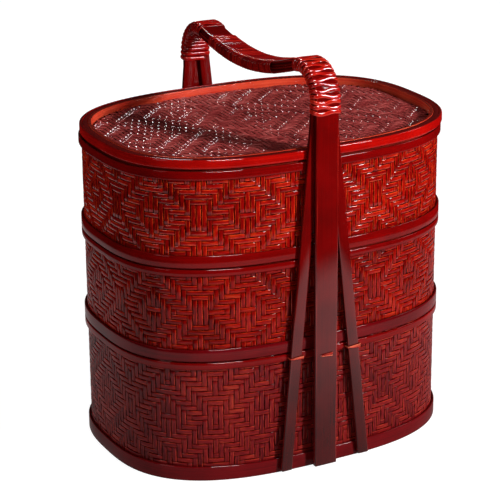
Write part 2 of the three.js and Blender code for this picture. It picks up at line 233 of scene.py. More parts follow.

# Hoops. Lengths of split bamboo, steamed and bent round the foot and the upper edge of each tier, glued
# over the ends of the splints and finished in crimson gloss lacquer. The two lowest foot hoops are painted
# darker, a painted shade for the light that falls off towards the table. A fine gap shows under each tray.
HALF_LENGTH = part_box("base_foot_hoop")[1].x
HALF_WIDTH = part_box("base_foot_hoop")[1].y
PLAN_EXPONENT = 2.77
RING_STEPS = 240
HOOP_THICKNESS = 0.0024
HOOP_ROUND = 0.001
HOOP_ROUND_STEPS = 3
TRAY_GAP = 0.001
LEVEL_TOLERANCE = 1e-6
SMOOTH_ANGLE = math.radians(35)
HOOP_FIBRE_SCALE = (9, 9, 1500)
HOOP_CLOUD_SCALE = 26
HOOP_STREAKS = 0.55
# Least share of the painted top shade on upward faces; the streaks add the rest.
HOOP_TOP_SHADE = 0.7
HOOP_ROUGHNESS_SPREAD = 0.12
LACQUER_CONTRAST = (0.3, 0.7)
UPWARD_FACES = (0.75, 0.97)
FIBRE_RELIEF = 0.0003
TIERS = {"base": "base_tier", "middle": "middle_tray", "top": "top_tray"}
GAPPED_HOOPS = ("middle_foot_hoop", "top_foot_hoop")
SHADED_HOOPS = ("base_foot_hoop", "middle_foot_hoop")


def plan_point(turn, inset):
    """x, y and outward normal of the oval plan at each turn, moved inward by inset."""
    power = 2 / PLAN_EXPONENT
    along = np.sign(np.cos(turn)) * np.abs(np.cos(turn)) ** power
    across = np.sign(np.sin(turn)) * np.abs(np.sin(turn)) ** power
    normal_x = np.sign(along) * np.abs(along) ** (PLAN_EXPONENT - 1) / HALF_LENGTH
    normal_y = np.sign(across) * np.abs(across) ** (PLAN_EXPONENT - 1) / HALF_WIDTH
    size = np.hypot(normal_x, normal_y)
    normal = np.stack([normal_x / size, normal_y / size], axis=-1)
    point = np.stack([HALF_LENGTH * along, HALF_WIDTH * across], axis=-1)
    return point - inset * normal, normal


def deselect_all():
    """Leaves no object selected, so that an operator acts only on the piece that comes next."""
    for chosen in bpy.context.selected_objects:
        chosen.select_set(False)


def apply_modifier(piece, kind, **settings):
    """Adds a modifier with its settings to the selected piece and applies it."""
    modifier = piece.modifiers.new(kind.title(), kind)
    for name, setting in settings.items():
        setattr(modifier, name, setting)
    bpy.ops.object.modifier_apply(modifier=modifier.name)


def outline_on_plan(name, low, high):
    """A circle drawn out to the oval that fills a CAD node's box, as the one selected object."""
    inset = HALF_WIDTH - high.y
    deselect_all()
    bpy.ops.mesh.primitive_circle_add(vertices=RING_STEPS, radius=1)
    piece = bpy.context.object
    piece.name = name
    for vertex in piece.data.vertices:
        turn = math.atan2(vertex.co.y, vertex.co.x)
        point, _ = plan_point(np.array(turn), inset)
        vertex.co = (point[0] + (low.x + high.x) / 2, point[1], low.z)
    return piece


def turn_faces_out():
    """Turns all faces of the active piece outward and leaves edit mode."""
    bpy.ops.object.mode_set(mode="EDIT")
    bpy.ops.mesh.select_all(action="SELECT")
    bpy.ops.mesh.normals_make_consistent(inside=False)
    bpy.ops.object.mode_set(mode="OBJECT")


def raise_outline(height, filled):
    """Extrudes the active outline straight up, as an open band or as a filled board."""
    bpy.ops.object.mode_set(mode="EDIT")
    bpy.ops.mesh.select_all(action="SELECT")
    if filled:
        bpy.ops.mesh.edge_face_add()
    bpy.ops.mesh.extrude_region_move(TRANSFORM_OT_translate={"value": (0, 0, height)})
    turn_faces_out()


def bent_ring(name, node, thickness, edge_round, inner_share=1.0, gap=0.0):
    """A band on the plan where its CAD node is, with a gap under it. Its inner edges are rounded by a
    share of the outer."""
    low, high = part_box(node)
    low.z += gap
    piece = outline_on_plan(name, low, high)
    raise_outline(high.z - low.z, filled=False)
    outer_vertices = len(piece.data.vertices)
    apply_modifier(piece, "SOLIDIFY", thickness=thickness, offset=-1)
    weights = piece.data.attributes.new("bevel_weight_edge", "FLOAT", "EDGE").data
    for edge, weight in zip(piece.data.edges, weights):
        first, second = edge.vertices
        rise = piece.data.vertices[first].co.z - piece.data.vertices[second].co.z
        outer, inner = max(first, second) < outer_vertices, min(first, second) >= outer_vertices
        weight.value = (abs(rise) < LEVEL_TOLERANCE) * (outer + inner * inner_share)
    apply_modifier(piece, "BEVEL", width=edge_round, segments=HOOP_ROUND_STEPS, limit_method="WEIGHT")
    bpy.ops.object.shade_smooth_by_angle(angle=SMOOTH_ANGLE)
    return piece


def fit_piece(piece, finish, body, slot, *nodes):
    """Gives a piece its finish and its body, and hides the CAD nodes that it stands for."""
    piece.data.materials.clear()
    piece.data.materials.append(finish)
    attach(piece, body)
    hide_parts(*nodes)


def hoop_lacquer(name, deep, bright, top, roughness):
    """Gloss lacquer over bent bamboo: fine level streaks along it, and its upward faces painted darker and
    greyer, a painted reflection and shade.
    """
    material, start, shader = new_material(name)
    place = start.node("TexCoord", output="Object")
    fibres = start.node("Mapping", {"Vector": place, "Scale": HOOP_FIBRE_SCALE})
    streak = start.node("TexNoise", {"Vector": fibres, "Scale": 1, "Detail": 3})
    cloud = start.node("TexNoise", {"Vector": place, "Scale": HOOP_CLOUD_SCALE, "Detail": 2})
    share = (streak * HOOP_STREAKS + cloud * (1 - HOOP_STREAKS)).step(*LACQUER_CONTRAST)
    colour = start.mix(share, (*deep, 1), (*bright, 1))
    # Painted reflection and shade: upward faces turn to the darker, greyer top colour, broken by the
    # streaks.
    facing = start.node("NewGeometry", output="Normal")
    upward = start.node("SeparateXYZ", {"Vector": facing}, output="Z").step(*UPWARD_FACES)
    top_shade = upward * (HOOP_TOP_SHADE + streak * (1 - HOOP_TOP_SHADE))
    colour = start.mix(top_shade, colour, (*top, 1))
    start.link(colour, shader.inputs["Base Color"])
    start.link(streak * HOOP_ROUGHNESS_SPREAD + roughness, shader.inputs["Roughness"])
    relief = start.node("Bump", {"Height": streak, "Strength": 0.2, "Distance": FIBRE_RELIEF})
    start.link(relief, shader.inputs["Normal"])
    shader.inputs["Specular IOR Level"].default_value = 0.0
    shader.inputs["Coat Weight"].default_value = 0.35
    shader.inputs["Coat Roughness"].default_value = 0.05
    return material


# Each top colour is the painted reflection and shade on the upward faces.
crimson_hoop = hoop_lacquer(
    "crimson_hoop",
    deep=(0.12, 0.001, 0.001), bright=(0.22, 0.001, 0.001), top=(0.09, 0.003, 0.002), roughness=0.34,
)
# Painted shade: a darker copy of the crimson lacquer for the two lowest foot hoops.
shaded_hoop = hoop_lacquer(
    "shaded_hoop",
    deep=(0.08, 0.001, 0.002), bright=(0.16, 0.002, 0.004), top=(0.06, 0.003, 0.002), roughness=0.36,
)
for tier, body in TIERS.items():
    for place_name, slot in (("foot", "foot_hoops"), ("top", "top_hoops")):
        node = f"{tier}_{place_name}_hoop"
        gap = TRAY_GAP if node in GAPPED_HOOPS else 0
        hoop = bent_ring(f"{node}_bamboo", node, HOOP_THICKNESS, HOOP_ROUND, gap=gap)
        lacquer = shaded_hoop if node in SHADED_HOOPS else crimson_hoop
        fit_piece(hoop, lacquer, body, slot, node)

# Floors and their bearers. Each floor is a thin bamboo board cut to the plan, resting on a strip that
# is glued inside the foot hoop. Both have one coat of thin red-brown lacquer.
BEARER_WIDTH = 0.0025
BOARD_ROUND = 0.0006
BOARD_ROUND_STEPS = 2
SLAT_WIDTH = 0.021
SLAT_SEAM = (0.47, 0.5)
SEAM_COLOUR = (0.02, 0.004, 0.003, 1)
BOARD_FIBRE_SCALE = (14, 700, 700)
BOARD_STREAKS = 0.55
BOARD_ROUGHNESS = 0.38
ROUGHNESS_SPREAD = 0.2
BOARD_FIBRE_HEIGHT = 0.3
BOARD_RELIEF = 0.0004


def cut_board(name, node):
    """A flat board cut to the plan where its CAD node lies, with softened edges."""
    low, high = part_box(node)
    piece = outline_on_plan(name, low, high)
    raise_outline(high.z - low.z, filled=True)
    apply_modifier(piece, "BEVEL", width=BOARD_ROUND, segments=BOARD_ROUND_STEPS, limit_method="ANGLE")
    bpy.ops.object.shade_smooth_by_angle(angle=SMOOTH_ANGLE)
    return piece


def board_lacquer(name, deep, bright):
    """Satin lacquer over a board of glued bamboo slats that lie along the basket."""
    material, start, shader = new_material(name)
    place = start.node("TexCoord", output="Object")
    across = start.node("SeparateXYZ", {"Vector": place}, output="Y") / SLAT_WIDTH
    slat = start.math("FLOOR", across)
    seam = abs(start.math("FRACT", across) - 0.5).step(*SLAT_SEAM)
    shade = start.node("TexWhiteNoise", {"W": slat}, noise_dimensions="1D")
    fibres = start.node("Mapping", {"Vector": place, "Scale": BOARD_FIBRE_SCALE})
    streak = start.node("TexNoise", {"Vector": fibres, "Scale": 1, "Detail": 3})
    share = shade * (1 - BOARD_STREAKS) + streak * BOARD_STREAKS
    colour = start.mix(share, (*deep, 1), (*bright, 1))
    start.link(start.mix(seam, colour, SEAM_COLOUR), shader.inputs["Base Color"])
    start.link(streak * ROUGHNESS_SPREAD + BOARD_ROUGHNESS, shader.inputs["Roughness"])
    height = streak * BOARD_FIBRE_HEIGHT - seam
    relief = start.node("Bump", {"Height": height, "Strength": 0.4, "Distance": BOARD_RELIEF})
    start.link(relief, shader.inputs["Normal"])
    return material


brown_board = board_lacquer("brown_board", deep=(0.07, 0.008, 0.005), bright=(0.2, 0.03, 0.013))
for tier, body in TIERS.items():
    bearer = bent_ring(f"{tier}_floor_bearer_bamboo", f"{tier}_floor_bearer", BEARER_WIDTH, BOARD_ROUND)
    fit_piece(bearer, brown_board, body, "boards", f"{tier}_floor_bearer")
    board = cut_board(f"{tier}_floor_bamboo", f"{tier}_floor")
    fit_piece(board, brown_board, body, "boards", f"{tier}_floor")

# Wall liners. A sheet of thin bamboo inside each wall, rolled to the plan; it stands above its tier as
# the lip that the next tier is set over.
LINER_THICKNESS = 0.002
LINER_ROUND = 0.0006
red_liner = hoop_lacquer(
    "red_liner",
    deep=(0.1, 0.006, 0.004), bright=(0.2, 0.014, 0.008), top=(0.13, 0.012, 0.008), roughness=0.38,
)
for tier, body in TIERS.items():
    liner = bent_ring(f"{tier}_wall_liner_bamboo", f"{tier}_wall_liner", LINER_THICKNESS, LINER_ROUND)
    fit_piece(liner, red_liner, body, "liners", f"{tier}_wall_liner")

# Woven walls. Flat bamboo splints in a figured three-and-three twill: upright splints cross level ones
# that run round the basket, and the floats step sideways row by row into concentric diamonds. The lacquer
# is painted darker on each tier down as painted shade, and the base tier's is also browner, a painted
# reflection of the table.
SPLINT_PITCH = 0.0048
SPLINT_WIDTH = 0.0043
SPLINT_THICKNESS = 0.0008
SPLINT_LIFT = 0.00042
SPLINT_BOW = 0.00012
CELL_STATIONS = (-0.3, 0.3)
MOTIF_COLUMNS = 18
MOTIFS_ROUND = 11
FLOAT_PERIOD = 6
FLOAT_STEPS = (FLOAT_PERIOD - 1, 0, 1)
MIDDLE_STITCH_ROW = 2
CORNER_STITCH_ROW = 1
HIDDEN_ROWS = 1
PLAN_SAMPLES = 4800
TRAY_MOTIF_START = -0.032
BASE_MOTIF_START = -0.107
UPRIGHT_LEAN = 0.05
LEVEL_LEAN = 0.07
UPRIGHT_TONES = (0.1, 0.7)
LEVEL_TONES = (0.3, 0.9)
RIBBON_SMOOTH_ANGLE = math.radians(50)
SPLINT_GRAIN = (120, 2.4, 53)
SPLINT_CLOUD_SCALE = 17
SPLINT_TONE_SHARE = 0.3
SPLINT_CLOUDS = 0.5
SHOULDER_HIGHLIGHT = 0.5
SIDE_DARKNESS = 0.9
SPLINT_ROUGHNESS = 0.35
SHOULDER = (0.5, 0.75)
SPLINT_SIDE = (0.84, 0.97)
HIGHLIGHT_STREAKS = (0.4, 0.62)
SPLINT_SHADE = (0.02, 0.0006, 0.0006, 1)
splint_section = np.array([
    (-0.5, -0.5), (-0.5, -0.05), (-0.4, 0.3), (-0.2, 0.5), (0.2, 0.5), (0.4, 0.3), (0.5, -0.05), (0.5, -0.5),
]) * (SPLINT_WIDTH, SPLINT_THICKNESS)


def ribbons(name, spine, sideways, outward, section, closed, tone, over):
    """Like strips swept along their lines as one mesh. Arrays go strip by strip, then along each. The
    lay attribute keeps distance along, place across and the strip's tone, and over where it is on top."""
    strips, stations, _ = spine.shape
    corners = len(section)
    across = section[:, 0][None, None, :, None] * sideways[:, :, None]
    up = section[:, 1][None, None, :, None] * outward[:, :, None]
    points = spine[:, :, None] + across + up
    index = np.arange(strips * stations * corners).reshape(strips, stations, corners)
    here = index if closed else index[:, :-1]
    ahead = np.roll(index, -1, axis=1) if closed else index[:, 1:]
    quads = np.stack([here, np.roll(here, -1, axis=2), np.roll(ahead, -1, axis=2), ahead], axis=-1)
    faces = quads.reshape(-1, 4).tolist()
    if not closed:
        faces += index[:, 0, ::-1].tolist() + index[:, -1].tolist()
    mesh = bpy.data.meshes.new(name)
    mesh.from_pydata(points.reshape(-1, 3).tolist(), [], faces)
    moved = np.linalg.norm(np.diff(spine, axis=1), axis=-1)
    along = np.concatenate([np.zeros((strips, 1)), np.cumsum(moved, axis=1)], axis=1)
    lay = np.zeros(points.shape)
    lay[..., 0] = along[:, :, None]
    lay[..., 1] = section[:, 0] / np.abs(section[:, 0]).max()
    lay[..., 2] = tone[:, :, None]
    mesh.attributes.new("lay", "FLOAT_VECTOR", "POINT").data.foreach_set("vector", lay.ravel())
    height = np.broadcast_to(over[:, :, None], points.shape[:3])
    mesh.attributes.new("over", "FLOAT", "POINT").data.foreach_set("value", height.ravel())
    piece = bpy.data.objects.new(name, mesh)
    bpy.context.collection.objects.link(piece)
    deselect_all()
    piece.select_set(True)
    bpy.context.view_layer.objects.active = piece
    turn_faces_out()
    bpy.ops.object.shade_smooth_by_angle(angle=RIBBON_SMOOTH_ANGLE)
    return piece


def fold(count, period):
    """Distance of each count from the nearest multiple of period."""
    rest = np.mod(count, period)
    return np.minimum(rest, period - rest)


def wall_figure(columns, rows, with_centre_stitch):
    """Where the upright splint lies on top, for each column and row counted from a motif's middle."""
    u = fold(columns, MOTIF_COLUMNS)[:, None]
    v = np.abs(rows)[None, :]
    on_top = np.isin(np.mod(v - u, FLOAT_PERIOD), FLOAT_STEPS)
    if with_centre_stitch:
        on_top |= (u == 0) & (v == MIDDLE_STITCH_ROW)
    return on_top | ((u == MOTIF_COLUMNS // 2) & (v == CORNER_STITCH_ROW))


def float_heights(on_top, closed):
    """Height of a splint above the middle of the weave, two stations a cell, bowed over long floats."""
    if closed:
        before, after = np.roll(on_top, 1, axis=1), np.roll(on_top, -1, axis=1)
    else:
        before = np.concatenate([on_top[:, :1], on_top[:, :-1]], axis=1)
        after = np.concatenate([on_top[:, 1:], on_top[:, -1:]], axis=1)
    bow = SPLINT_BOW * (on_top & before & after)
    height = np.where(on_top, SPLINT_LIFT, -SPLINT_LIFT) + bow
    return np.repeat(height, len(CELL_STATIONS), axis=1)


around_turns = np.linspace(-math.pi / 2, 3 * math.pi / 2, PLAN_SAMPLES)


def travel_round(inset):
    """Distance travelled round the wall, from the middle of its front, at each of around_turns."""
    line, _ = plan_point(around_turns, inset)
    steps = np.linalg.norm(np.diff(line, axis=0), axis=1)
    return np.concatenate([[0], np.cumsum(steps)])


def round_wall(distance, inset):
    """Plan point and normal at a distance round the wall from the middle of its front."""
    travelled = travel_round(inset)
    turn = np.interp(np.mod(distance, travelled[-1]), travelled, around_turns)
    return plan_point(turn, inset)


def splint_lacquer(name, tones, edge, gloss):
    """Lacquer over a splint: fibres run along it, a painted highlight lies on its shoulders, and its dips
    and sides are painted dark as painted shade.
    """
    material, start, shader = new_material(name)
    lay = start.node("Attribute", output="Vector", attribute_name="lay")
    over = start.node("Attribute", output="Fac", attribute_name="over")
    across = start.node("SeparateXYZ", {"Vector": lay}, output="Y")
    tone = start.node("SeparateXYZ", {"Vector": lay}, output="Z")
    grain = start.node("VectorMath", {0: lay, 1: SPLINT_GRAIN}, operation="MULTIPLY")
    streak = start.node("TexNoise", {"Vector": grain, "Scale": 1, "Detail": 3})
    place = start.node("TexCoord", output="Object")
    cloud = start.node("TexNoise", {"Vector": place, "Scale": SPLINT_CLOUD_SCALE, "Detail": 2})
    share = tone * SPLINT_TONE_SHARE + streak * (1 - SPLINT_TONE_SHARE) + (cloud - 0.5) * SPLINT_CLOUDS
    colour = start.node("ValToRGB", {"Fac": share}, stops=tones)
    shoulder, side = abs(across).step(*SHOULDER), abs(across).step(*SPLINT_SIDE)
    # Painted highlight: the shoulders turn to the bright edge colour along some streaks.
    colour = start.mix(shoulder * streak.step(*HIGHLIGHT_STREAKS) * SHOULDER_HIGHLIGHT, colour, (*edge, 1))
    # Painted shade: where a splint dives under another, and on its sides, it is painted nearly black.
    open_face = over * (1 - side * SIDE_DARKNESS)
    colour = start.mix(open_face, SPLINT_SHADE, colour)
    start.link(colour, shader.inputs["Base Color"])
    start.link(streak * ROUGHNESS_SPREAD + SPLINT_ROUGHNESS, shader.inputs["Roughness"])
    relief = start.node("Bump", {"Height": streak, "Strength": 0.3, "Distance": FIBRE_RELIEF})
    start.link(relief, shader.inputs["Normal"])
    start.link(open_face * gloss, shader.inputs["Coat Weight"])
    shader.inputs["Specular IOR Level"].default_value = 0.0
    shader.inputs["Coat Roughness"].default_value = 0.07
    return material


def woven_wall(tier, start_distance, with_centre_stitch, finish, seed):
    """The splints of one wall: its uprights as one piece and its level weavers as another."""
    low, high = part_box(f"{tier}_woven_wall")
    foot_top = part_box(f"{tier}_foot_hoop")[1].z
    rim_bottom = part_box(f"{tier}_top_hoop")[0].z
    inset = HALF_WIDTH - high.y + SPLINT_THICKNESS / 2 + SPLINT_LIFT + SPLINT_BOW
    middle = (foot_top + rim_bottom) / 2
    reach = math.ceil((rim_bottom - foot_top) / 2 / SPLINT_PITCH - 0.5) + HIDDEN_ROWS
    rows = np.arange(-reach, reach + 1)
    columns = np.arange(MOTIF_COLUMNS * MOTIFS_ROUND)
    pitch = travel_round(inset)[-1] / len(columns)
    on_top = wall_figure(columns, rows, with_centre_stitch)
    draw = np.random.default_rng(seed)
    offsets = np.array(CELL_STATIONS)

    height = float_heights(on_top, closed=False)
    level = ((rows[:, None] + offsets) * SPLINT_PITCH).ravel() + middle
    level = np.clip(level, low.z, high.z)
    point, normal = round_wall(start_distance + columns * pitch, inset)
    spine = np.zeros((len(columns), len(level), 3))
    spine[..., :2] = point[:, None] + height[..., None] * normal[:, None]
    spine[..., 2] = level
    outward = np.zeros(spine.shape)
    outward[..., :2] = normal[:, None]
    sideways = np.stack([-outward[..., 1], outward[..., 0], outward[..., 2]], axis=-1)
    lean = draw.normal(0, UPRIGHT_LEAN, len(columns))[:, None, None]
    over = (height > 0).astype(float)
    uprights = ribbons(
        f"{tier}_upright_splints", spine, sideways, outward + lean * sideways, splint_section,
        closed=False, tone=draw.uniform(*UPRIGHT_TONES, (len(columns), 1)), over=over,
    )
    fit_piece(uprights, finish, TIERS[tier], "woven_splints", f"{tier}_woven_wall")

    height = float_heights(~on_top.T, closed=True)
    distance = start_distance + ((columns[:, None] + offsets) * pitch).ravel()
    point, normal = round_wall(distance, inset)
    spine = np.zeros((len(rows), len(distance), 3))
    spine[..., :2] = point + height[..., None] * normal
    spine[..., 2] = np.clip(middle + rows * SPLINT_PITCH, low.z, high.z)[:, None]
    outward = np.zeros(spine.shape)
    outward[..., :2] = normal
    sideways = np.zeros(spine.shape)
    sideways[..., 2] = 1
    lean = draw.normal(0, LEVEL_LEAN, len(rows))[:, None, None]
    over = (height > 0).astype(float)
    weavers = ribbons(
        f"{tier}_level_splints", spine, sideways, outward + lean * sideways, splint_section,
        closed=True, tone=draw.uniform(*LEVEL_TONES, (len(rows), 1)), over=over,
    )
    fit_piece(weavers, finish, TIERS[tier], "woven_splints", f"{tier}_woven_wall")


red_splint_tones = (
    (0.2, (0.08, 0.001, 0.001)),
    (0.42, (0.21, 0.001, 0.001)),
    (0.6, (0.36, 0.004, 0.002)),
    (0.8, (0.58, 0.035, 0.004)),
)
# Painted shade: darker copies of the red splints' tones for the middle tier and, browner, for the base.
shaded_middle_tones = (
    (0.2, (0.06, 0.001, 0.001)),
    (0.42, (0.16, 0.001, 0.001)),
    (0.6, (0.27, 0.003, 0.002)),
    (0.8, (0.45, 0.025, 0.004)),
)
shaded_base_tones = (
    (0.2, (0.05, 0.002, 0.003)),
    (0.42, (0.12, 0.003, 0.005)),
    (0.6, (0.2, 0.007, 0.007)),
    (0.8, (0.33, 0.025, 0.012)),
)
# Each edge colour is the painted highlight on the shoulders.
red_splints = splint_lacquer("red_splints", red_splint_tones, edge=(0.85, 0.08, 0.015), gloss=0.55)
shaded_middle_splints = splint_lacquer("shaded_middle_splints", shaded_middle_tones, edge=(0.7, 0.05, 0.012), gloss=0.3)
shaded_base_splints = splint_lacquer("shaded_base_splints", shaded_base_tones, edge=(0.5, 0.045, 0.02), gloss=0.35)
woven_wall("base", BASE_MOTIF_START, with_centre_stitch=False, finish=shaded_base_splints, seed=11)
woven_wall("middle", TRAY_MOTIF_START, with_centre_stitch=True, finish=shaded_middle_splints, seed=12)
woven_wall("top", TRAY_MOTIF_START, with_centre_stitch=True, finish=red_splints, seed=13)

# Lid rim. Two bent bamboo bands with a filler strip between them form a hollow rim, which drops over
# the lip of the top tray. They are painted brighter red than the hoops, a painted light on the top of the
# stack, and the inner band is painted brightest of all, a painted light where the front lamp falls on it.
LID_BAND_THICKNESS = 0.003
LID_BAND_ROUND = 0.0017
INNER_BAND_THICKNESS = 0.0029
INNER_BAND_ROUND = 0.0003
FILLER_THICKNESS = 0.0045
FILLER_ROUND = 0.0002
SEAM_SHARE = 0.12
LID_GAP = 0.0012
# Painted light: a brighter copy of the hoops' crimson for the top of the stack.
lit_crimson_band = hoop_lacquer(
    "lit_crimson_band",
    deep=(0.26, 0.001, 0.001), bright=(0.45, 0.004, 0.002), top=(0.07, 0.006, 0.005), roughness=0.34,
)
# Painted light: the brightest copy, for the inner band's face lit by the front lamp.
lit_scarlet_band = hoop_lacquer(
    "lit_scarlet_band",
    deep=(0.5, 0.02, 0.01), bright=(0.75, 0.09, 0.04), top=(0.1, 0.008, 0.006), roughness=0.34,
)
outer_band = bent_ring(
    "lid_outer_band_bamboo", "lid_outer_band", LID_BAND_THICKNESS, LID_BAND_ROUND, SEAM_SHARE, LID_GAP,
)
fit_piece(outer_band, lit_crimson_band, "lid", "lid_bands", "lid_outer_band")
filler = bent_ring("lid_rim_filler_bamboo", "lid_rim_filler", FILLER_THICKNESS, FILLER_ROUND)
fit_piece(filler, lit_crimson_band, "lid", "lid_bands", "lid_rim_filler")
inner_band = bent_ring("lid_inner_band_bamboo", "lid_inner_band", INNER_BAND_THICKNESS, INNER_BAND_ROUND)
fit_piece(inner_band, lit_scarlet_band, "lid", "lid_bands", "lid_inner_band")

# Lid panel. The same splints woven flat, in nested diamonds round the middle that turn back towards the
# rim, and laid on a backing board. Its lacquer is a dull maroon, painted greyer and pinker in part as a
# painted reflection of the bright surroundings on the flat top.
PANEL_FOLD = 13
PANEL_EDGE = 0.0008
PANEL_LEAN = 0.06
PANEL_SEED = 21
board = cut_board("lid_backing_board_bamboo", "lid_backing_board")
fit_piece(board, brown_board, "lid", "boards", "lid_backing_board")


def panel_half_chord(offset, half_across, half_along):
    """Half length of the panel's oval along a line at that offset from its middle."""
    share = np.clip(1 - np.abs(offset / half_across) ** PLAN_EXPONENT, 0, 1)
    return half_along * share ** (1 / PLAN_EXPONENT)


def panel_splints(name, lines, stations, half_across, half_along, on_top, swap, finish, draw):
    """One direction of the lid's weave. Each line's stations are drawn in to the oval's edge, and swap
    turns the lines from across the basket to along it."""
    low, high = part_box("lid_woven_panel")
    height = float_heights(on_top, closed=False)
    chord = panel_half_chord(lines, half_across, half_along)
    along = np.clip(stations[None, :], -chord[:, None], chord[:, None])
    spine = np.zeros((len(lines), len(stations), 3))
    spine[..., 0] = lines[:, None]
    spine[..., 1] = along
    spine[..., 2] = (low.z + high.z) / 2 + height
    sideways = np.zeros(spine.shape)
    sideways[..., 0] = 1
    outward = np.zeros(spine.shape)
    outward[..., 2] = 1
    if swap:
        spine[..., :2] = spine[..., 1::-1]
        sideways = sideways[..., [1, 0, 2]]
    spine[..., 0] += (low.x + high.x) / 2
    lean = draw.normal(0, PANEL_LEAN, len(lines))[:, None, None]
    over = (height > 0).astype(float)
    tone = draw.random((len(lines), 1))
    piece = ribbons(
        name, spine, sideways, outward + lean * sideways, splint_section,
        closed=False, tone=tone, over=over,
    )
    fit_piece(piece, finish, "lid", "lid_weave", "lid_woven_panel")


def lid_panel(finish):
    """Both directions of the panel's splints, from one figure."""
    low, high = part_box("lid_woven_panel")
    half_x, half_y = (high.x - low.x) / 2 - PANEL_EDGE, high.y - PANEL_EDGE
    columns = np.arange(-int(half_x / SPLINT_PITCH), int(half_x / SPLINT_PITCH) + 1)
    rows = np.arange(-int(half_y / SPLINT_PITCH), int(half_y / SPLINT_PITCH) + 1)
    u = fold(columns, 2 * PANEL_FOLD)[:, None]
    v = fold(rows, 2 * PANEL_FOLD)[None, :]
    on_top = np.isin(np.mod(u + v, FLOAT_PERIOD), FLOAT_STEPS)
    draw = np.random.default_rng(PANEL_SEED)
    offsets = np.array(CELL_STATIONS)
    across_stations = ((rows[:, None] + offsets) * SPLINT_PITCH).ravel()
    along_stations = ((columns[:, None] + offsets) * SPLINT_PITCH).ravel()
    panel_splints(
        "lid_cross_splints", columns * SPLINT_PITCH, across_stations, half_x, half_y, on_top,
        swap=False, finish=finish, draw=draw,
    )
    panel_splints(
        "lid_long_splints", rows * SPLINT_PITCH, along_stations, half_y, half_x, ~on_top.T,
        swap=True, finish=finish, draw=draw,
    )


# Partly painted reflection: the greyish pink in these tones stands for the surroundings mirrored on the flat
# panel.
maroon_splint_tones = (
    (0.2, (0.13, 0.014, 0.015)),
    (0.42, (0.27, 0.03, 0.03)),
    (0.6, (0.4, 0.055, 0.052)),
    (0.8, (0.55, 0.12, 0.11)),
)
maroon_splints = splint_lacquer("maroon_splints", maroon_splint_tones, edge=(0.6, 0.14, 0.12), gloss=0.4)
lid_panel(maroon_splints)

# Handle strips. Three lengths of split bamboo, planed along their edges, steamed and bent: a wide one
# over two narrow ones, which splay apart down the wall to the foot hoop. Dark red, worn at the edges.
FIT_GAP = 0.0003
CENTRE_STRIP_WIDTH = 0.023
CENTRE_STRIP_THICKNESS = 0.005
SIDE_STRIP_WIDTH = 0.011
SIDE_STRIP_THICKNESS = 0.0045
SIDE_STRIP_GROOVE = 0.003
SIDE_FOOT_OFFSET = 0.0415
SPLAY_EASING = 0.03
STRIP_FOOT_LIFT = 0.0024
HANDLE_SHIFT = -0.0044
SPLAY_SHIFT = 0.0029
STRIP_ROUND = 0.0011
BEND_RADIUS = 0.03
FRONT_BEND_RISE = 0.044
REAR_BEND_RISE = 0.036
FRONT_DIP_SLOPE = math.radians(17)
REAR_DIP_SLOPE = math.radians(14)
DIP_REACH_SHARE = 0.39
ARCH_SAMPLES = 400
ARCH_STEP = 0.0005
SLOPE_STEP = 0.001
STRIP_ROUND_STEPS = 3
CUT_ROUNDS = 2
CUTS_IN_ROUND = 15
LONG_EDGE_PARTS = 40
STRIP_GRAIN = (14, 9, 3)
STRIP_CLOUD_SCALE = 30
UPPER_STRIP = (0.02, 0.3)
STRIP_EDGE = (0.84, 0.93)
STRIP_FACE = (0.6, 1)
STRIP_WEAR = (0.45, 0.6)
STRIP_SIDES = (-0.2, 0.9)
STRIP_STREAKS = 0.4
STRIP_EDGE_WEAR = 0.5
STRIP_ROUGHNESS = 0.32
STRIP_ROUGHNESS_SPREAD = 0.1
HAND_WEAR = (0.29, 0.31)
HAND_DULLING = 0.7
STRIP_WORN_COLOUR = (0.5, 0.02, 0.012, 1)
# Each of these goes from the colour at the foot to the colour above; the darker foot is painted shade.
STRIP_DEEP = ((0.035, 0.001, 0.001, 1), (0.11, 0.001, 0.001, 1))
STRIP_BRIGHT = ((0.07, 0.001, 0.001, 1), (0.18, 0.001, 0.001, 1))
STRIP_SIDE_SHADE = ((0.16, 0.006, 0.006, 1), (0.016, 0.001, 0.001, 1))
stack_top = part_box("lid_outer_band")[1].z
centre_layer = 2 * FIT_GAP + SIDE_STRIP_THICKNESS + CENTRE_STRIP_THICKNESS / 2
arch_half_span = HALF_WIDTH + centre_layer
pair_offset = (SIDE_STRIP_GROOVE + SIDE_STRIP_WIDTH) / 2
front_upright = stack_top + FRONT_BEND_RISE
rear_upright = stack_top + REAR_BEND_RISE


